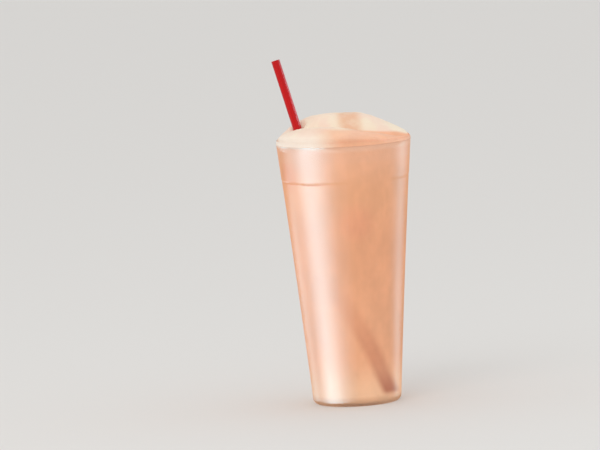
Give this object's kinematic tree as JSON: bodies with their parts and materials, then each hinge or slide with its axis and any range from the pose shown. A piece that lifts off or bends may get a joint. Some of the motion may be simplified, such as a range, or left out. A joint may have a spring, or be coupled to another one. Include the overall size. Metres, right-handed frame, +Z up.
{
  "type": "drink in a glass",
  "caption": "Tall tapered tumbler full of an opaque peach drink, heaped with froth above its lip, with a straw leaning out of it.",
  "frame": {"origin": "centre of the ring that the glass stands on", "axes": "+Z up along the glass's axis, -Y towards the front, +X to the right, away from the straw's free end"},
  "size_m": [0.0899, 0.0898, 0.231],
  "materials": {
    "glass": "clear polished",
    "drink": "opaque creamy liquid",
    "froth": "wet fine froth",
    "straw": "smooth gloss"
  },
  "bodies": {
    "root": {"glass": "glass", "drink": "drink", "froth": "froth", "straw": "straw"}
  },
  "joints": []
}
